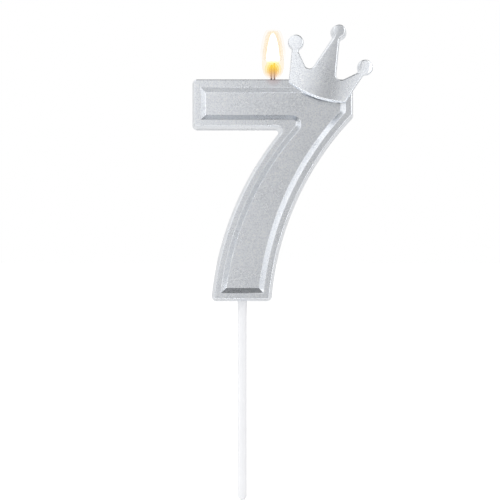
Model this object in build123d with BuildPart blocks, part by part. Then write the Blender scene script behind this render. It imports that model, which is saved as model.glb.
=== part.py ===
"""A numeral seven birthday candle with a small crown, in millimetres.

+Z is up and -Y is the front. The origin is on the pick's axis, where its straight shank
begins: the shank below goes into the cake. The wax numeral stands on the pick's shoulder and
lifts off its ribbed tenon. Each finished piece is written to parts/ under its own name.
"""

from build123d import *
from math import atan, cos, degrees, hypot, radians, sin, sqrt
import os

# Numeral: the outline is the parting line, halfway between the front and the back.
numeral_height = 71.7
bar_left = -16.1  # left end of the bar, from the pick's axis
right_side = 35.8  # right end of the numeral, from the pick's axis
bar_height = 16.5
shoulder_drop = 12.4  # the short upright edge at the top right
foot_left = -10.0
foot_right = 9.4
crotch_x = 12.5  # where the stem's left edge meets the bar's underside
left_sweep = 99.2  # radius of the stem's left edge
right_sweep = 95.8  # radius of the stem's right edge
thickness = 11.0
draft_run = 0.9  # how far each face is smaller than the parting line
crotch_radius = 0.8
corner_radius = 1.6
edge_radius = 0.35

# Sunk panel, the same on the front and the back
rim_width = 1.95
top_rim_extra = 0.45  # the rim along the top is this much wider
slope_run = 1.6
panel_depth = 1.5
panel_crotch_radius = 1.3
panel_edge_radius = 0.2

# Pick: a plain shank for the cake and a ribbed tenon for the wax
shank_radius = 1.4
shank_length = 59.6
tip_radius = 1.05
collar_radius = 1.5  # the pick widens a little between the shank and the numeral
collar_length = 4.2
seat_depth = 0.35  # the shoulder stands this far into the numeral's foot
tenon_radius = 0.9
tenon_length = 13.0
rib_radius = 1.2
rib_width = 0.8
rib_pitch = 2.4
rib_count = 5
socket_gap = 0.05
socket_end_gap = 0.6

# Wick: one cord folded in half in the wax, its two ends standing above the bar
wick_x = 9.9
strand_pitch = 1.0
strand_radius = 0.3
strand_height = {"wick_left": 4.6, "wick_right": 5.2}  # above the bar
wick_depth = 11.0  # from the top of the bar to the bottom of the fold
root_lift = 0.15  # each end bends about a point this far above the bar
root_gap = 0.05

# Crown: a relief with a flat back and a bowed front. Points are (along, above) its base.
crown_inset = 12.05  # the middle of its base, in from the numeral's right side
crown_drop = 5.1  # and down from the numeral's top
crown_tilt = 19.8  # degrees clockwise
crown_half_base = 9.55
crown_base_sag = 1.7
outer_neck = (12.2, 10.4)
inner_neck = (10.4, 10.82)
side_ball = (11.68, 12.65)
notch = (4.55, 4.9)
middle_neck = (1.25, 18.2)
middle_ball = (0, 20.2)
ball_radius = 2.55
notch_radius = 1.5
neck_radius = 0.8
crown_height = 1.9  # at the middle of its base
crown_lean = 5.5  # degrees: the front leans out from the back, so the points are thicker
crown_bow = 55.0
crown_draft = 10.0  # degrees
crown_edge_radius = 0.35

# Glue between the crown's back and the sunk panel
glue_length = 4.6
glue_width = 1.5
glue_u = 5.1  # its middle, along the crown's base
glue_v = 0.05  # and above it

foot = collar_length
seat = foot + seat_depth
numeral_top = foot + numeral_height
underside = numeral_top - bar_height
shoulder = numeral_top - shoulder_drop
half = thickness / 2
draft = degrees(atan(draft_run / half))
slope = degrees(atan(slope_run / panel_depth))
tilt = radians(crown_tilt)
lean = radians(crown_lean)
crown_plane = Plane(
    origin=(right_side - crown_inset, -half, numeral_top - crown_drop),
    x_dir=(cos(tilt), 0, -sin(tilt)),
    z_dir=(0, -1, 0),
)
wick_ends = {
    "wick_left": (wick_x - strand_pitch / 2, 0, numeral_top + root_lift),
    "wick_right": (wick_x + strand_pitch / 2, 0, numeral_top + root_lift),
}


def sweep_centre(low, high, radius):
    """Centre, to the right, of the arc of that radius from a low point to a high one."""
    run, rise = high[0] - low[0], high[1] - low[1]
    chord = hypot(run, rise)
    reach = sqrt(radius**2 - (chord / 2) ** 2)
    return (low[0] + run / 2 + rise / chord * reach, low[1] + rise / 2 - run / chord * reach)


left_centre = sweep_centre((foot_left, foot), (crotch_x, underside), left_sweep)
right_centre = sweep_centre((foot_right, foot), (right_side, shoulder), right_sweep)


def sweep_x(centre, radius, z):
    """Where a stem edge crosses the level z."""
    return centre[0] - sqrt(radius**2 - (z - centre[1]) ** 2)


def seven(inset, crotch, corner=0, top_extra=0):
    """The seven's outline, moved inwards by inset, as a face in the current sketch."""
    top, under, low = numeral_top - inset - top_extra, underside + inset, foot + inset
    left, right = bar_left + inset, right_side - inset
    left_radius, right_radius = left_sweep - inset, right_sweep + inset
    side_end = right_centre[1] + sqrt(right_radius**2 - (right_centre[0] - right) ** 2)
    crotch_at = (sweep_x(left_centre, left_radius, under), under)
    foot_l = (sweep_x(left_centre, left_radius, low), low)
    foot_r = (sweep_x(right_centre, right_radius, low), low)
    with BuildLine() as outline:
        Polyline(foot_r, foot_l)
        RadiusArc(foot_l, crotch_at, left_radius)
        Polyline(crotch_at, (left, under), (left, top), (right, top), (right, side_end))
        RadiusArc((right, side_end), foot_r, -right_radius)
    make_face(outline.edges())
    by_distance = vertices().sort_by_distance(Vector(*crotch_at))
    if corner:
        fillet(by_distance[1:], radius=corner)
        by_distance = vertices().sort_by_distance(Vector(*crotch_at))
    fillet(by_distance[0], radius=crotch)


def mirrored(point):
    """The same point on the other side of the crown's middle."""
    return (-point[0], point[1])


os.makedirs("parts", exist_ok=True)

# ---------- the pick: everything else stands on it ----------
with BuildPart() as pick:
    Cylinder(shank_radius, shank_length, align=(Align.CENTER, Align.CENTER, Align.MAX))
    fillet(edges().group_by(Axis.Z)[0], radius=tip_radius)
    Cone(
        shank_radius,
        collar_radius,
        collar_length / 2,
        align=(Align.CENTER, Align.CENTER, Align.MIN),
    )
    with Locations((0, 0, seat)):
        Cylinder(
            collar_radius,
            collar_length / 2 + seat_depth,
            align=(Align.CENTER, Align.CENTER, Align.MAX),
        )
        Cylinder(tenon_radius, tenon_length, align=(Align.CENTER, Align.CENTER, Align.MIN))
    for n in range(rib_count):
        with Locations((0, 0, seat + (n + 0.75) * rib_pitch)):
            Cylinder(rib_radius, rib_width)
    chamfer(edges().group_by(Axis.Z)[-1], length=0.25)
pick.part.label = "pick"
export_step(pick.part, "parts/pick.step")

# ---------- the wick's folded cord, cast into the bar ----------
with BuildPart() as wick_core:
    left, right = wick_x - strand_pitch / 2, wick_x + strand_pitch / 2
    fold_z = numeral_top - wick_depth + strand_pitch / 2 + strand_radius
    with BuildLine() as cord:
        Line((left, 0, numeral_top), (left, 0, fold_z))
        ThreePointArc((left, 0, fold_z), (wick_x, 0, fold_z - strand_pitch / 2), (right, 0, fold_z))
        Line((right, 0, fold_z), (right, 0, numeral_top))
    with BuildSketch(Plane((left, 0, numeral_top), z_dir=(0, 0, -1))):
        Circle(strand_radius)
    sweep(path=cord.wires()[0])
    whole_cord = wick_core.part
    with Locations(*wick_ends.values()):
        Sphere(strand_radius + root_gap, mode=Mode.SUBTRACT)
wick_core.part.label = "wick_core"
export_step(wick_core.part, "parts/wick_core.step")

# ---------- the wick's two free ends ----------
for name, root in wick_ends.items():
    with BuildPart() as strand:
        with Locations(root):
            Sphere(strand_radius)
            Cylinder(
                strand_radius,
                strand_height[name] - root_lift,
                align=(Align.CENTER, Align.CENTER, Align.MIN),
            )
        fillet(edges().group_by(Axis.Z)[-1], radius=strand_radius / 3)
    strand.part.label = name
    export_step(strand.part, f"parts/{name}.step")

# ---------- the wax numeral ----------
with BuildPart() as numeral_body:
    with BuildSketch(Plane.XZ):
        seven(0, crotch_radius, corner_radius)
    extrude(amount=half, taper=draft)
    with BuildSketch(Plane.XZ.offset(half)):
        seven(draft_run + rim_width, panel_crotch_radius, top_extra=top_rim_extra)
    extrude(amount=-panel_depth, taper=slope, mode=Mode.SUBTRACT)
    rim, panel = faces().filter_by(Axis.Y).sort_by(Axis.Y)[:2]
    fillet(rim.inner_wires()[0].edges() + panel.edges(), radius=panel_edge_radius)
    rim = faces().filter_by(Axis.Y).sort_by(Axis.Y)[0]
    fillet(rim.outer_wire().edges(), radius=edge_radius)
    mirror(about=Plane.XZ)
    with Locations((0, 0, seat)):
        Cylinder(
            collar_radius + socket_gap,
            2 * seat_depth,
            align=(Align.CENTER, Align.CENTER, Align.MAX),
            mode=Mode.SUBTRACT,
        )
        Cylinder(
            rib_radius + socket_gap,
            tenon_length + socket_end_gap,
            align=(Align.CENTER, Align.CENTER, Align.MIN),
            mode=Mode.SUBTRACT,
        )
    add(whole_cord, mode=Mode.SUBTRACT)
    with Locations(*wick_ends.values()):
        Sphere(strand_radius + root_gap, mode=Mode.SUBTRACT)
numeral_body.part.label = "numeral_body"
export_step(numeral_body.part, "parts/numeral_body.step")

# ---------- the crown, glued on over the top right corner ----------
with BuildPart() as crown:
    with BuildSketch(crown_plane):
        with BuildLine():
            side = [middle_neck, notch, inner_neck, side_ball, outer_neck, (crown_half_base, 0)]
            Polyline(*[mirrored(point) for point in reversed(side)], *side)
            ThreePointArc((crown_half_base, 0), (0, -crown_base_sag), (-crown_half_base, 0))
        make_face()
        fillet(vertices().filter_by(lambda v: abs(abs(v.X) - notch[0]) < 0.01), radius=notch_radius)
        with Locations(side_ball, mirrored(side_ball), middle_ball):
            Circle(ball_radius)
        fillet(vertices().filter_by(lambda v: v.Y > 0.8 * outer_neck[1]), radius=neck_radius)
    extrude(amount=crown_height + middle_ball[1] * sin(lean) + ball_radius / 4, taper=crown_draft)
    leaning_up = crown_plane.y_dir * cos(lean) + crown_plane.z_dir * sin(lean)
    with BuildSketch(Plane(crown_plane.origin, crown_plane.x_dir, leaning_up)):
        with Locations((0, crown_bow - crown_height)):
            Circle(crown_bow)
    extrude(amount=2 * middle_ball[1], both=True, mode=Mode.INTERSECT)
    bowed_face = faces().filter_by(GeomType.CYLINDER).sort_by(SortBy.AREA)[-1]
    fillet(bowed_face.edges(), radius=crown_edge_radius)
crown.part.label = "crown"
export_step(crown.part, "parts/crown.step")

# ---------- the glue behind the crown ----------
with BuildPart() as crown_glue:
    with BuildSketch(crown_plane):
        with Locations((glue_u, glue_v)):
            SlotOverall(glue_length, glue_width)
    extrude(amount=-panel_depth)
crown_glue.part.label = "crown_glue"
export_step(crown_glue.part, "parts/crown_glue.step")
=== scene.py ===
import math

import bmesh
import bpy
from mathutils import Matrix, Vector


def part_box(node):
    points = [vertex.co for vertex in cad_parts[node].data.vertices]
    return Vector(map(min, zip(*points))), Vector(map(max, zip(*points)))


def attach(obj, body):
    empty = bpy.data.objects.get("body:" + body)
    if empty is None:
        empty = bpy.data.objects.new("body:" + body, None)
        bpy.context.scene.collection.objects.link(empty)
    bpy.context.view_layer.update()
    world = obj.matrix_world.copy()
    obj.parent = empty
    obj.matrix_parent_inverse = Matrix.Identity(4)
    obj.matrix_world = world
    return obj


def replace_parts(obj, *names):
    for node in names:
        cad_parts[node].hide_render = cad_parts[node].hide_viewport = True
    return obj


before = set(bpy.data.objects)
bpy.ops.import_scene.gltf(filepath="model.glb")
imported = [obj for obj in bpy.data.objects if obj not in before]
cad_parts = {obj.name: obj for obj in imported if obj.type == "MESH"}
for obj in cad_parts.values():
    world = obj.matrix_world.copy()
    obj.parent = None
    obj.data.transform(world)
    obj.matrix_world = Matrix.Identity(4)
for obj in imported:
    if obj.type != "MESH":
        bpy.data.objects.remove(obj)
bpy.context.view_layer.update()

MM = 0.001
wax_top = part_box("numeral_body")[1].z
pick_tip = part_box("pick")[0].z
wick_low, wick_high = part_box("wick_core")
wick_axis = Vector(((wick_low.x + wick_high.x) / 2, 0, wax_top))
view_x, view_z = 2.49, 20.78  # what the camera faces, in millimetres from the origin
view_distance = 350
view_lens = 78


# ---------- camera ----------
def studio_camera():
    """Level with the numeral's lower third and squarely in front of the candle."""
    data = bpy.data.cameras.new("camera")
    data.lens, data.sensor_width = view_lens, 36
    data.clip_start, data.clip_end = 0.01, 20
    camera = bpy.data.objects.new("camera", data)
    camera.location = (view_x * MM, -view_distance * MM, view_z * MM)
    camera.rotation_euler = (math.radians(90), 0, 0)
    bpy.context.scene.collection.objects.link(camera)
    bpy.context.scene.camera = camera


studio_camera()


# ---------- shader sums ----------
class Mix:
    """A socket of a node tree. Sums on it add Math nodes, and make() adds any other node."""

    def __init__(self, tree, socket=None):
        self.tree, self.socket = tree, socket

    def make(self, kind, settings=None, inputs=None, output=0):
        node = self.tree.nodes.new(kind)
        for name, value in (settings or {}).items():
            if name == "stops":
                ramp = node.color_ramp
                while len(ramp.elements) < len(value):
                    ramp.elements.new(1)
                for element, (place, colour) in zip(ramp.elements, value):
                    element.position, element.color = place, (*colour, 1)
            else:
                setattr(node, name, value)
        for name, value in (inputs or {}).items():
            if isinstance(value, Mix):
                self.tree.links.new(value.socket, node.inputs[name])
            else:
                node.inputs[name].default_value = value
        return Mix(self.tree, node.outputs[output] if len(node.outputs) else None)

    def sum(self, operation, a, b, clamp=False):
        return self.make("ShaderNodeMath", {"operation": operation, "use_clamp": clamp}, {0: a, 1: b})

    def __add__(self, other):
        return self.sum("ADD", self, other)

    def __radd__(self, other):
        return self.sum("ADD", other, self)

    def __sub__(self, other):
        return self.sum("SUBTRACT", self, other)

    def __rsub__(self, other):
        return self.sum("SUBTRACT", other, self)

    def __mul__(self, other):
        return self.sum("MULTIPLY", self, other)

    def __rmul__(self, other):
        return self.sum("MULTIPLY", other, self)

    def __truediv__(self, other):
        return self.sum("DIVIDE", self, other)

    def step(self, low, high, start=0.0, end=1.0):
        """Smooth from start to end as this value goes from low to high."""
        settings = {"interpolation_type": "SMOOTHSTEP"}
        return self.make(
            "ShaderNodeMapRange",
            settings,
            {"Value": self, "From Min": low, "From Max": high, "To Min": start, "To Max": end},
        )

    def blend(self, dark, light):
        """A colour between two others, by this value."""
        return self.make(
            "ShaderNodeMix", {"data_type": "RGBA"}, {0: self, 6: dark, 7: light}, output=2
        )


def material(name, **surface):
    """A new material with a Principled surface, and the start of its sums."""
    made = bpy.data.materials.new(name)
    made.use_nodes = True
    tree = made.node_tree
    tree.nodes.clear()
    shader = tree.nodes.new("ShaderNodeBsdfPrincipled")
    out = tree.nodes.new("ShaderNodeOutputMaterial")
    tree.links.new(shader.outputs[0], out.inputs["Surface"])
    for name, value in surface.items():
        shader.inputs[name.replace("_", " ")].default_value = value
    return made, Mix(tree), shader


def feed(shader, **wires):
    for name, wire in wires.items():
        shader.id_data.links.new(wire.socket, shader.inputs[name.replace("_", " ")])


def place(start):
    """The piece's own coordinates, in metres."""
    return start.make("ShaderNodeTexCoord", output="Object")


def height(start):
    return start.make("ShaderNodeSeparateXYZ", None, {0: place(start)}, output="Z")


def noise(start, scale, detail=2.0, roughness=0.5):
    inputs = {"Vector": place(start), "Scale": scale, "Detail": detail, "Roughness": roughness}
    return start.make("ShaderNodeTexNoise", None, inputs)


def distance_from(start, point):
    """How far the surface is from a point, in millimetres."""
    ends = {0: place(start), 1: tuple(point)}
    return start.make("ShaderNodeVectorMath", {"operation": "DISTANCE"}, ends, output="Value") / MM


def bump(start, heights, strength, depth):
    inputs = {"Height": heights, "Strength": strength, "Distance": depth * MM}
    return start.make("ShaderNodeBump", None, inputs)


def above_wax(start):
    """Height above the top of the bar, in millimetres."""
    return (height(start) - wax_top) / MM


# ---------- finishes ----------
def silver_lacquer():
    """Metallic lacquer sprayed on wax: satin, with a fine uneven grain, and a painted pink glow of flame
    light on the wax near the wick.
    """
    made, start, shader = material("silver_lacquer", Metallic=1.0)
    grain = noise(start, 2400.0, 2.0, 0.6)
    flake = noise(start, 5200.0, 1.0)
    cloud = noise(start, 110.0)
    shade = 0.42 + grain * 0.66 + flake * 0.36 + cloud * 0.08
    # painted flame light: the base colour turns pink within about 6 mm of the wick, standing in for the flame
    # lighting the wax
    painted_flame_light = distance_from(start, wick_axis).step(5.3, 6.5, 1.0, 0.0)
    grey = start.make("ShaderNodeCombineColor", None, {0: shade, 1: shade, 2: shade})
    silver = start.make(
        "ShaderNodeMix",
        {"data_type": "RGBA", "blend_type": "MULTIPLY"},
        {0: 1.0, 6: (0.915, 0.944, 0.992, 1), 7: grey},
        output=2,
    )
    # mixes the painted flame light into the silver base colour
    flame_lit_silver = (painted_flame_light * 0.8).blend(silver, (0.82, 0.66, 0.65, 1))
    feed(
        shader,
        Base_Color=flame_lit_silver,
        Roughness=0.24 + cloud * 0.08,
        Normal=bump(start, grain * 0.7 + flake * 0.3, 0.45, 0.03),
    )
    return made


def pick_plastic():
    """White moulded plastic with a faint flow pattern."""
    made, start, shader = material("pick_plastic", IOR=1.48)
    flow = noise(start, 160.0, 3.0)
    feed(
        shader,
        Base_Color=flow.blend((0.785, 0.79, 0.81, 1), (0.84, 0.845, 0.865, 1)),
        Roughness=0.12 + flow * 0.12,
        Normal=bump(start, noise(start, 700.0), 0.1, 0.01),
    )
    return made


def cotton():
    """Waxed cotton, browned where it has burnt."""
    made, start, shader = material("wick_cotton", Roughness=0.8)
    up = above_wax(start)
    burnt = up.step(0.2, 2.4, 0.75, 1.0)
    ember = up.step(2.2, 4.2)
    fibre = noise(start, 9000.0, 3.0)
    shader.inputs["Emission Strength"].default_value = 1.0
    feed(
        shader,
        Base_Color=burnt.blend((0.6, 0.46, 0.36, 1), (0.16, 0.06, 0.04, 1)),
        Emission_Color=ember.blend((0.0, 0.0, 0.0, 1), (0.88, 0.45, 0.05, 1)),
        Normal=bump(start, fibre, 0.4, 0.02),
    )
    return made


def hot_glue():
    """A cloudy, off-white dab."""
    made, start, shader = material("hot_glue", IOR=1.5)
    haze = noise(start, 800.0)
    feed(
        shader,
        Base_Color=haze.blend((0.8, 0.78, 0.7, 1), (0.9, 0.88, 0.82, 1)),
        Roughness=0.2 + haze * 0.2,
    )
    return made


def glow(name, strength):
    """A material that only shines."""
    made, start, shader = material(name, Roughness=1.0, Specular_IOR_Level=0.0)
    shader.inputs["Base Color"].default_value = (0, 0, 0, 1)
    shader.inputs["Emission Strength"].default_value = strength
    return made, start, shader


def flame_layer(name, colours, strength, solid):
    """Glowing gas. A ramp's place is the height above the wax, as a share of flame_height."""
    made, start, shader = glow(name, strength)
    part = above_wax(start) / flame_height
    tint = start.make("ShaderNodeValToRGB", {"stops": colours}, {0: part})
    cover = start.make("ShaderNodeValToRGB", {"stops": solid}, {0: part})
    feed(
        shader,
        Emission_Color=tint,
        Alpha=start.make("ShaderNodeSeparateColor", None, {0: cover}, output=0),
    )
    return made


def greys(stops):
    return [(at, (level, level, level)) for at, level in stops]


flame_height = 16.0
silver = silver_lacquer()
plastic = pick_plastic()
cord = cotton()
glue = hot_glue()


# ---------- pieces ----------
def add(name, mesh, finish, body):
    """A finished piece with its material, riding on a body."""
    mesh.materials.clear()
    mesh.materials.append(finish)
    piece = bpy.data.objects.new(name, mesh)
    bpy.context.scene.collection.objects.link(piece)
    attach(piece, body)
    return piece


def settled(piece):
    """The mesh that an object's modifiers make, without them."""
    evaluated = piece.evaluated_get(bpy.context.evaluated_depsgraph_get())
    mesh = bpy.data.meshes.new_from_object(evaluated)
    bpy.data.objects.remove(piece)
    return mesh


def smooth_copy(node, sharp=50):
    """A CAD node's mesh with its corners joined and its curved faces shaded smooth."""
    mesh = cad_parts[node].data.copy()
    bm = bmesh.new()
    bm.from_mesh(mesh)
    bmesh.ops.remove_doubles(bm, verts=bm.verts, dist=0.0005 * MM)
    for face in bm.faces:
        face.smooth = True
    for edge in bm.edges:
        edge.smooth = len(edge.link_faces) == 2 and edge.calc_face_angle() < math.radians(sharp)
    bm.to_mesh(mesh)
    bm.free()
    rough = bpy.data.objects.new(node + "_rough", mesh)
    bpy.context.scene.collection.objects.link(rough)
    weighted = rough.modifiers.new("weighted", "WEIGHTED_NORMAL")
    weighted.keep_sharp = True
    return settled(rough)


for node, name in (("numeral_body", "wax_seven"), ("crown", "wax_crown")):
    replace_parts(add(name, smooth_copy(node), silver, "numeral"), node)
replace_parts(add("pick_rod", smooth_copy("pick"), plastic, "pick"), "pick")
for node, finish in (("crown_glue", glue), ("wick_core", cord)):
    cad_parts[node].data.materials.clear()
    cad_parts[node].data.materials.append(finish)


# ---------- wick ends: three twisted yarns on a round root ----------
def twisted_cord():
    """A node tree that twists yarns about a straight line that stands on a ball."""
    tree = bpy.data.node_groups.new("twisted_cord", "GeometryNodeTree")
    face = tree.interface
    face.new_socket("Geometry", in_out="OUTPUT", socket_type="NodeSocketGeometry")
    for name, kind in (
        ("Root", "NodeSocketVector"), ("Height", "NodeSocketFloat"), ("Cord Radius", "NodeSocketFloat"),
        ("Yarn Radius", "NodeSocketFloat"), ("Turns", "NodeSocketFloat"), ("Yarns", "NodeSocketInt"),
        ("Material", "NodeSocketMaterial"),
    ):
        face.new_socket(name, in_out="INPUT", socket_type=kind)
    start = Mix(tree)
    given = tree.nodes.new("NodeGroupInput")

    def size(name):
        return Mix(tree, given.outputs[name])

    tip = start.make("ShaderNodeCombineXYZ", None, {2: size("Height")})
    line = start.make("GeometryNodeCurvePrimitiveLine", None, {"Start": (0, 0, 0), "End": tip})
    line = start.make("GeometryNodeResampleCurve", None, {"Curve": line, "Count": 40})
    turn = start.make("GeometryNodeSplineParameter", output="Factor") * size("Turns") * (2 * math.pi)
    reach = size("Cord Radius") - size("Yarn Radius")
    east = reach * turn.sum("COSINE", turn, 0.0)
    north = reach * turn.sum("SINE", turn, 0.0)
    away = start.make("ShaderNodeCombineXYZ", None, {0: east, 1: north})
    helix = start.make("GeometryNodeSetPosition", None, {"Geometry": line, "Offset": away})
    ring = {"Resolution": 12, "Radius": size("Yarn Radius")}
    ring = start.make("GeometryNodeCurvePrimitiveCircle", None, ring)
    yarn = {"Curve": helix, "Profile Curve": ring, "Fill Caps": True}
    yarn = start.make("GeometryNodeCurveToMesh", None, yarn)
    share = start.make("GeometryNodeInputIndex") * (2 * math.pi) / size("Yarns")
    yarns = start.make(
        "GeometryNodeInstanceOnPoints",
        None,
        {
            "Points": start.make("GeometryNodePoints", None, {"Count": size("Yarns")}),
            "Instance": yarn,
            "Rotation": start.make("ShaderNodeCombineXYZ", None, {2: share}),
        },
    )
    ball = {"Segments": 24, "Rings": 12, "Radius": size("Cord Radius")}
    ball = start.make("GeometryNodeMeshUVSphere", None, ball)
    both = tree.nodes.new("GeometryNodeJoinGeometry")
    for part in (start.make("GeometryNodeRealizeInstances", None, {"Geometry": yarns}), ball):
        tree.links.new(part.socket, both.inputs[0])
    placed = {"Geometry": Mix(tree, both.outputs[0]), "Translation": size("Root")}
    placed = start.make("GeometryNodeTransform", None, placed)
    placed = start.make("GeometryNodeSetShadeSmooth", None, {0: placed})
    finished = {"Geometry": placed, "Material": size("Material")}
    finished = start.make("GeometryNodeSetMaterial", None, finished)
    out = tree.nodes.new("NodeGroupOutput")
    tree.links.new(finished.socket, out.inputs[0])
    return tree


def free_end(node, tree):
    """Yarns in place of one of the wick's plain ends."""
    low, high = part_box(node)
    radius = (high.x - low.x) / 2
    root = ((low.x + high.x) / 2, 0, low.z + radius)
    blank = bpy.data.objects.new(node + "_cord", bpy.data.meshes.new(node + "_cord"))
    bpy.context.scene.collection.objects.link(blank)
    twist = blank.modifiers.new("twist", "NODES")
    twist.node_group = tree
    sizes = {
        "Root": root, "Height": high.z - root[2], "Cord Radius": radius,
        "Yarn Radius": 0.54 * radius, "Turns": 2.2, "Yarns": 3, "Material": cord,
    }
    for item in tree.interface.items_tree:
        if item.name in sizes:
            twist[item.identifier] = sizes[item.name]
    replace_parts(add(node + "_yarns", settled(blank), cord, node), node)


yarn_tree = twisted_cord()
free_end("wick_left", yarn_tree)
free_end("wick_right", yarn_tree)


# ---------- flame ----------
def turned_shell(name, profile, segments=48):
    """A closed shell turned about the wick from (radius, height above the wax) points in mm."""
    bm = bmesh.new()
    rings = []
    for radius, up in profile:
        ring = []
        for n in range(segments if radius else 1):
            turn = 2 * math.pi * n / segments
            away = Vector((math.cos(turn), math.sin(turn), 0)) * radius * MM
            ring.append(bm.verts.new(wick_axis + away + Vector((0, 0, up * MM))))
        rings.append(ring)
    for low, high in zip(rings, rings[1:]):
        for n in range(segments):
            m = (n + 1) % segments
            corners = [low[n % len(low)], low[m % len(low)], high[m % len(high)], high[n % len(high)]]
            bm.faces.new(list(dict.fromkeys(corners)))
    for face in bm.faces:
        face.smooth = True
    mesh = bpy.data.meshes.new(name)
    bmesh.ops.recalc_face_normals(bm, faces=bm.faces)
    bm.to_mesh(mesh)
    bm.free()
    return mesh


def gas(name, profile, colours, cover, strength=1.0):
    """A shell of glowing gas around the wick. Its solidity changes with height above the wax."""
    finish = flame_layer(name, colours, strength, greys(cover))
    shell = add(name, turned_shell(name, profile), finish, "numeral")
    shell.visible_glossy = shell.visible_shadow = False


def grown(profile, grow):
    """The profile moved outwards by so many millimetres, and a little upwards towards its tip."""
    return [(r + (grow if r else 0), z + grow * 0.35 * z / 15) for r, z in profile]


def dome(radius, middle, high, low=0.05, steps=9):
    """Half a profile that bulges to the radius at the middle height."""
    points = [(0, low)]
    for n in range(1, steps):
        turn = math.pi * (n / steps - 0.5)
        reach = high - middle if turn > 0 else middle - low
        points.append((radius * math.cos(turn), middle + reach * math.sin(turn)))
    return points + [(0, high)]


flame_profile = [
    (0, 0.3), (0.6, 0.5), (1.2, 1.1), (1.75, 2.1), (2.1, 3.4), (2.22, 5.0), (2.15, 6.3),
    (1.9, 8.85), (1.72, 10.2), (1.5, 11.5), (1.03, 13.4), (0.6, 14.4), (0.25, 14.9), (0, 15.0),
]
core_profile = [(0, 4.9), (1.6, 4.95), (2.0, 5.4)] + flame_profile[6:]
halo_profile = [(0, 6.2), (2.0, 6.3)] + flame_profile[7:]
white_hot = [
    (0.305, (0.34, 0.33, 0.16)), (0.35, (0.37, 0.37, 0.26)), (0.39, (0.6, 0.6, 0.5)), (0.43, (1, 1, 1)),
]
peach = [(0.0, (1.0, 0.72, 0.55)), (0.25, (1.0, 0.78, 0.45)), (1.0, (1.0, 0.79, 0.5))]
apricot = [
    (0.0, (1.0, 0.75, 0.6)), (0.12, (1.0, 0.66, 0.2)), (0.3, (1.0, 0.7, 0.12)), (0.4, (1.0, 0.79, 0.5)),
]
lemon = [
    (0.0, (1.0, 0.86, 0.76)), (0.08, (1.0, 0.78, 0.52)), (0.16, (1.0, 0.74, 0.2)),
    (0.25, (1.0, 0.84, 0.12)), (0.33, (1.0, 0.96, 0.26)), (0.38, (1.0, 0.98, 0.5)),
]
gold = [
    (0.0, (1.0, 0.8, 0.68)), (0.08, (0.94, 0.6, 0.34)), (0.16, (0.95, 0.58, 0.1)),
    (0.23, (1.0, 0.7, 0.05)), (0.31, (1.0, 0.88, 0.14)),
]
amber = [
    (0.0, (0.95, 0.75, 0.6)), (0.065, (0.83, 0.46, 0.24)), (0.115, (0.8, 0.36, 0.09)),
    (0.17, (0.83, 0.34, 0.03)), (0.23, (0.93, 0.5, 0.02)), (0.29, (1.0, 0.8, 0.06)),
]

# A line of sight may cross at most four closed shells, or Cycles stops it and the flame turns brown.
core_cover = [(0.305, 0.0), (0.35, 0.3), (0.375, 0.75), (0.395, 1.0), (1.0, 1.0)]
gas("flame_core", core_profile, white_hot, core_cover, strength=3.0)
for name, profile, colours, cover in (
    ("flame_glow_outer", grown(halo_profile, 2.1), peach, [(0.38, 0.0), (0.56, 0.09), (1.0, 0.09)]),
    (
        "flame_glow_middle", grown(flame_profile, 1.35), apricot,
        [(0.0, 0.05), (0.12, 0.15), (0.32, 0.16), (0.42, 0.24), (1.0, 0.24)],
    ),
    ("flame_glow_inner", grown(halo_profile, 0.8), peach, [(0.39, 0.05), (0.5, 0.21), (1.0, 0.21)]),
    ("flame_blob_outer", dome(2.75, 3.2, 6.1), lemon, [(0.0, 0.03), (0.06, 0.12), (0.14, 0.22), (1.0, 0.24)]),
    ("flame_blob_middle", dome(2.0, 3.0, 5.4), gold, [(0.0, 0.04), (0.06, 0.18), (0.14, 0.34), (1.0, 0.38)]),
    ("flame_blob_inner", dome(1.35, 2.8, 4.7), amber, [(0.0, 0.05), (0.06, 0.25), (0.14, 0.5), (1.0, 0.5)]),
):
    gas(name, profile, colours, cover)


# ---------- studio ----------
def floor():
    """A round white floor just below the pick's tip, out of the shiny surfaces' sight."""
    mesh = bpy.data.meshes.new("floor")
    bm = bmesh.new()
    bmesh.ops.create_circle(bm, cap_ends=True, segments=96, radius=6.0)
    bm.to_mesh(mesh)
    bm.free()
    made, _, shader = material("floor", Roughness=0.9, Specular_IOR_Level=0.0)
    shader.inputs["Base Color"].default_value = (0.8, 0.8, 0.8, 1)
    shader.inputs["Emission Color"].default_value = (1, 1, 1, 1)
    shader.inputs["Emission Strength"].default_value = 0.3
    mesh.materials.append(made)
    plane = bpy.data.objects.new("floor", mesh)
    plane.location.z = pick_tip - 0.2 * MM
    plane.visible_glossy = False
    bpy.context.scene.collection.objects.link(plane)


def softbox():
    """A soft lamp on the left, out of the shiny surfaces' sight."""
    light = bpy.data.lights.new("left_softbox", "AREA")
    light.shape = "RECTANGLE"
    light.size, light.size_y = 0.3, 0.5
    light.energy = 0.5
    lamp = bpy.data.objects.new("left_softbox", light)
    lamp.location = (-0.42, -0.2, 0.08)
    lamp.visible_glossy = False
    aim = Vector((0.01, 0, 0.04)) - lamp.location
    lamp.rotation_euler = aim.to_track_quat("-Z", "Y").to_euler()
    bpy.context.scene.collection.objects.link(lamp)


def white_world():
    world = bpy.data.worlds.new("studio")
    bpy.context.scene.world = world
    world.use_nodes = True
    sky = world.node_tree.nodes["Background"]
    sky.inputs["Color"].default_value = (1, 1, 1, 1)
    sky.inputs["Strength"].default_value = 1.0


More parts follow.
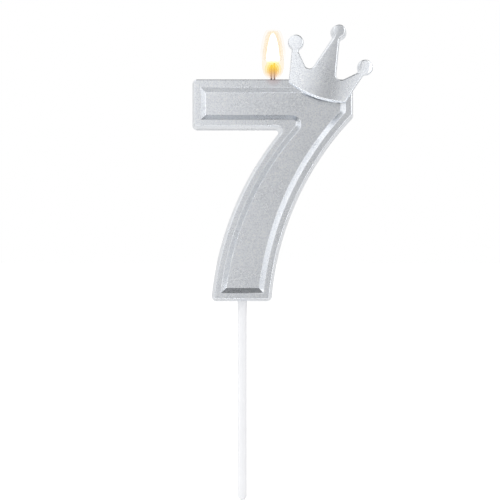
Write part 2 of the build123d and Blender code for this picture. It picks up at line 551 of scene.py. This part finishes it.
def card(name, corner, across, up, levels, rising=((0.0, 1.0), (1.0, 1.0))):
    """A glowing card that only shiny surfaces see, graded from side to side and upwards."""
    mesh = bpy.data.meshes.new(name)
    corner, across, up = Vector(corner), Vector(across), Vector(up)
    corners = [corner, corner + across, corner + across + up, corner + up]
    mesh.from_pydata([tuple(at) for at in corners], [], [(0, 1, 2, 3)])
    loops = mesh.uv_layers.new(name="UVMap").data
    for loop, at in zip(loops, ((0, 0), (1, 0), (1, 1), (0, 1))):
        loop.uv = at
    made, start, shader = glow(name, 1.0)
    uv = start.make("ShaderNodeTexCoord", output="UV")
    u = start.make("ShaderNodeSeparateXYZ", None, {0: uv}, output="X")
    v = start.make("ShaderNodeSeparateXYZ", None, {0: uv}, output="Y")
    sideways = start.make("ShaderNodeValToRGB", {"stops": greys(levels)}, {0: u})
    upwards = start.make("ShaderNodeValToRGB", {"stops": greys(rising)}, {0: v})
    feed(shader, Emission_Color=sideways * upwards)
    mesh.materials.append(made)
    sheet = bpy.data.objects.new(name, mesh)
    bpy.context.scene.collection.objects.link(sheet)
    sheet.visible_camera = sheet.visible_diffuse = sheet.visible_shadow = False


def even(level):
    return [(0, level), (1, level)]


def cards():
    """A box of cards, in metres. The levels are brightnesses along each card's first side."""
    side, low, high, behind = 0.62, -0.38, 0.46, 0.15
    width, tall, deep = 2 * side, high - low, side + behind

    # Bright on the left, a dim patch right of the middle, then a strip that lights rounded edges.
    front = [
        (0.0, 1.0), (0.4, 1.0), (0.46, 0.9), (0.5, 0.68), (0.54, 0.44), (0.59, 0.27), (0.63, 0.5),
        (0.68, 1.0), (0.74, 1.0), (0.8, 0.76), (0.87, 0.85), (0.94, 2.2), (1.0, 4.2),
    ]
    front_up = ((0.0, 0.75), (0.4, 0.84), (0.5, 0.93), (0.6, 1.0), (0.8, 1.0), (1.0, 1.2))
    card("card_front", (-side, -side, low), (width, 0, 0), (0, 0, tall), front, front_up)
    left_up = ((0.0, 0.8), (0.33, 0.86), (0.48, 1.15), (1.0, 1.2))
    card("card_left", (-side, -side, low), (0, deep, 0), (0, 0, tall + 0.42), even(1.0), left_up)
    right = [(0, 4.0), (0.2, 3.0), (0.36, 1.1), (0.62, 0.9), (1, 0.85)]
    right_up = ((0.0, 0.48), (0.15, 0.54), (0.35, 0.75), (0.5, 1.0))
    card("card_right", (side, -side, low), (0, deep, 0), (0, 0, tall), right, right_up)

    # Dark overhead, half bright underneath, with a bright strip low in front for the lower edges.
    over = [(0, 0.19), (0.55, 0.19), (0.8, 0.5), (1, 0.6)]
    card("card_over", (-0.14, -side, high), (0.76, 0, 0), (0, side + 0.45, 0), over)
    card("card_under", (-side, -0.2, low), (width, 0, 0), (0, 0.65, 0), even(0.52))
    card("card_low_front", (-side, -side, low), (width, 0, 0), (0, 0.22, 0), even(2.8))

    card("card_back", (-side, 0.55, low), (width, 0, 0), (0, 0, tall), even(0.86))
    for name, sign in (("card_back_left", -1), ("card_back_right", 1)):
        card(name, (sign * 0.55, 0.22, low), (-sign * 0.15, 0.23, 0), (0, 0, tall), even(0.1))


floor()
white_world()
cards()
softbox()
bpy.context.scene.view_settings.view_transform = "Standard"
